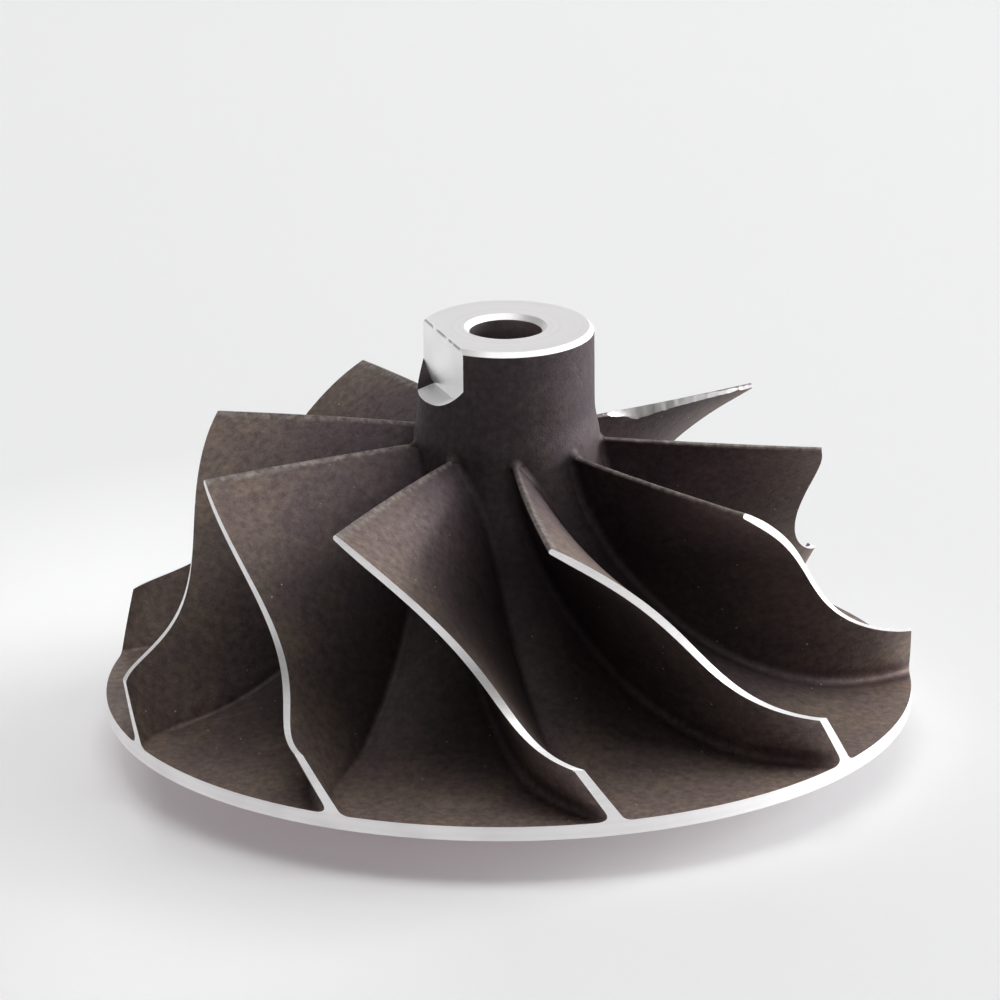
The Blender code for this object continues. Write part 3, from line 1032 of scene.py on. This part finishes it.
def floor_material(settings):
    material, nodes, shader = new_material("table_top")
    where = nodes.where()
    mottle = nodes.remap(nodes.noise(where, 6.0, 2.0), 0.3, 0.7, 0.99, 1.0)
    # painted light: the table's glow is stronger on the left, away from the wheel, where it lightens the
    # wheel's shadow
    x, y, _ = nodes.split(where)
    distance = nodes.radius(x, y)
    closer = nodes.remap(x, *SHADOW_SIDE, 0.0, FURTHER_IN)
    past_shadow = nodes.remap(nodes.math("ADD", distance, closer), *SHADOW_EDGE)
    beside = nodes.math("MULTIPLY", past_shadow, nodes.remap(distance, *GLOW_END))
    leftward = nodes.remap(x, *GLOW_SIDE, 0.0, settings.left_glow)
    extra = nodes.math("MULTIPLY", beside, leftward)
    glow = [value * settings.floor_glow for value in settings.floor_tint]
    looks = {
        "Base Color": nodes.tinted(settings.floor_colour, mottle),
        "Roughness": 0.7,
        "Specular IOR Level": 0.2,
        "Emission Color": nodes.blend(1.0, glow, extra, "ADD"),
        "Emission Strength": 1.0,
    }
    nodes.feed(shader.inputs, looks)
    return material


# Operators


class WHEEL_OT_hub_blank(bpy.types.Operator):
    """Turn up the hub and back disc, with stock left on for the tools"""

    bl_idname = "wheel.hub_blank"
    bl_label = "Hub Blank"

    def execute(self, context):
        shape = context.scene.wheel_shape
        nose_top = nose_top_of(shape)
        rim = shape.rim_radius + TURNING_STOCK
        outline = [
            (shape.nose_radius, nose_top + TURNING_STOCK),
            *hub_outline(shape),
            (rim, rim_top_of(shape)),
            (rim, shape.rear_depth - TURNING_STOCK),
            (shape.rear_radii[0], shape.rear_depth - TURNING_STOCK),
            (shape.boss_radius + 2 * MM, -TURNING_STOCK),
            (PILOT_RADIUS, -TURNING_STOCK),
            (PILOT_RADIUS, nose_top + TURNING_STOCK),
        ]
        skin = cast_skin_material(shape, context.scene.wheel_finish)
        turned(HUB_BLANK, outline, skin)
        return {"FINISHED"}


class WHEEL_OT_blades(bpy.types.Operator):
    """Loft one blade and repeat it round the hub"""

    bl_idname = "wheel.blades"
    bl_label = "Blades"

    def execute(self, context):
        shape = context.scene.wheel_shape
        skin = bpy.data.materials["cast_skin"]
        tree = blade_ring_tree()
        for name, mesh in (
            (BLADE_RING, blade_mesh(shape, skin)),
            (COLLAR_RING, collar_mesh(shape, skin)),
        ):
            ring = new_object(name, mesh)
            modifier = ring.modifiers.new("repeat", "NODES")
            modifier.node_group = tree
            first = shape.first_blade
            set_inputs(modifier, blades=shape.blade_count, first_angle=first, skin=skin)
            solid = baked(ring)
            ring.modifiers.clear()
            ring.data = solid
        return {"FINISHED"}


class WHEEL_OT_machine(bpy.types.Operator):
    """Join the blades to the hub, then run every tool over the casting"""

    bl_idname = "wheel.machine"
    bl_label = "Cast and Machine"

    def execute(self, context):
        shape, finish = context.scene.wheel_shape, context.scene.wheel_finish
        wheel = bpy.data.objects[HUB_BLANK]
        rings = [bpy.data.objects[name] for name in (BLADE_RING, COLLAR_RING)]
        turned_metal = tooled_material("turned_metal", finish, finish.turned, 0.46, 0.006, 0.9)
        # the bore's darker colour is partly painted shade inside the bore
        drilled = tooled_material("drilled_metal", finish, finish.drilled, 0.3, 0.006)
        milled = milled_material(shape, finish)
        # painted shade: the flat's left wall, near black
        shaded = tooled_material("milled_wall", finish, finish.milled_wall, 0.4, 0.01)
        filed = tooled_material("filed_metal", finish, finish.filed, 0.52, 0.012)
        tools = lathe_tools(shape, turned_metal, drilled)
        tools += [balance_mill(shape, milled, shaded), edge_file(shape, filed)]
        for ring in rings:
            boolean(wheel, "UNION", ring)
        for tool in tools:
            boolean(wheel, "DIFFERENCE", tool)
        mesh = baked(wheel)
        mesh.name = CASTING
        wheel.modifiers.clear()
        wheel.data = mesh
        wheel.name = CASTING
        mesh.shade_smooth()
        mesh.set_sharp_from_angle(angle=SHARP_ANGLE)
        for helper in [*rings, *tools]:
            bpy.data.objects.remove(helper, do_unlink=True)
        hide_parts(WHEEL_NODE)
        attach(wheel, "root")
        return {"FINISHED"}


class WHEEL_OT_studio(bpy.types.Operator):
    """Set the table, the lights and the camera"""

    bl_idname = "wheel.studio"
    bl_label = "Studio"

    def execute(self, context):
        settings = context.scene.studio_settings
        table(settings)
        lights(settings)
        camera(settings)
        context.scene.view_settings.view_transform = "Standard"
        return {"FINISHED"}


def table(settings):
    bpy.ops.mesh.primitive_grid_add(x_subdivisions=8, y_subdivisions=8, size=TABLE_SIZE)
    floor = bpy.context.object
    floor.name = "table_top"
    floor.data.materials.append(floor_material(settings))


def softbox(settings, name, direction, size, power):
    """A light far off. direction is its azimuth, 0 from the camera's side, and its height."""
    azimuth, height = (math.radians(value) for value in direction)
    away = settings.light_distance * math.cos(height)
    light = bpy.data.lights.new(name, "AREA")
    light.shape = "RECTANGLE"
    light.size, light.size_y = size
    light.energy = power * settings.brightness
    obj = new_object(name, light)
    obj.location = (
        away * math.sin(azimuth),
        -away * math.cos(azimuth),
        settings.light_distance * math.sin(height),
    )
    look = Vector(settings.light_aim) - obj.location
    obj.rotation_euler = look.to_track_quat("-Z", "Y").to_euler()
    obj.visible_camera = False


def lights(settings):
    for name, (direction, size, power) in SOFTBOXES.items():
        softbox(settings, name, direction, size, power)
    world = bpy.data.worlds.new("room")
    world.use_nodes = True
    world.node_tree.nodes["Background"].inputs["Strength"].default_value = 0.0
    bpy.context.scene.world = world


def camera(settings):
    data = bpy.data.cameras.new("camera")
    data.lens = settings.camera_lens
    data.sensor_width = SENSOR_WIDTH
    data.clip_end = 20.0
    obj = new_object("camera", data)
    aim = Vector(settings.camera_aim)
    elevation = settings.camera_elevation
    back = Vector((0.0, -math.cos(elevation), math.sin(elevation)))
    obj.location = aim + back * settings.camera_distance
    look = (-back).to_track_quat("-Z", "Y").to_matrix()
    roll = Matrix.Rotation(settings.camera_roll, 3, "Z")
    obj.rotation_euler = (look @ roll).to_euler()
    bpy.context.scene.camera = obj


class WHEEL_PT_panel(bpy.types.Panel):
    """Sizes, finishes and studio of the compressor wheel"""

    bl_idname = "WHEEL_PT_panel"
    bl_label = "Compressor Wheel"
    bl_space_type = "VIEW_3D"
    bl_region_type = "UI"
    bl_category = "Compressor Wheel"

    def draw(self, context):
        layout, scene = self.layout, context.scene
        for title, group in (
            ("Shape", scene.wheel_shape),
            ("Finish", scene.wheel_finish),
            ("Studio", scene.studio_settings),
        ):
            box = layout.box()
            box.label(text=title)
            for name in group.__annotations__:
                box.prop(group, name)
        for operator in STEPS:
            layout.operator(operator.bl_idname)


STEPS = (WHEEL_OT_hub_blank, WHEEL_OT_blades, WHEEL_OT_machine, WHEEL_OT_studio)
GROUPS = (WheelShape, WheelFinish, StudioSettings)
CLASSES = (*GROUPS, *STEPS, WHEEL_PT_panel)


def register():
    for cls in CLASSES:
        bpy.utils.register_class(cls)
    bpy.types.Scene.wheel_shape = PointerProperty(type=WheelShape)
    bpy.types.Scene.wheel_finish = PointerProperty(type=WheelFinish)
    bpy.types.Scene.studio_settings = PointerProperty(type=StudioSettings)


def unregister():
    del bpy.types.Scene.studio_settings
    del bpy.types.Scene.wheel_finish
    del bpy.types.Scene.wheel_shape
    for cls in reversed(CLASSES):
        bpy.utils.unregister_class(cls)


def main():
    register()
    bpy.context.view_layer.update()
    bpy.ops.wheel.hub_blank()
    bpy.ops.wheel.blades()
    bpy.ops.wheel.machine()
    bpy.ops.wheel.studio()


if __name__ == "__main__":
    main()
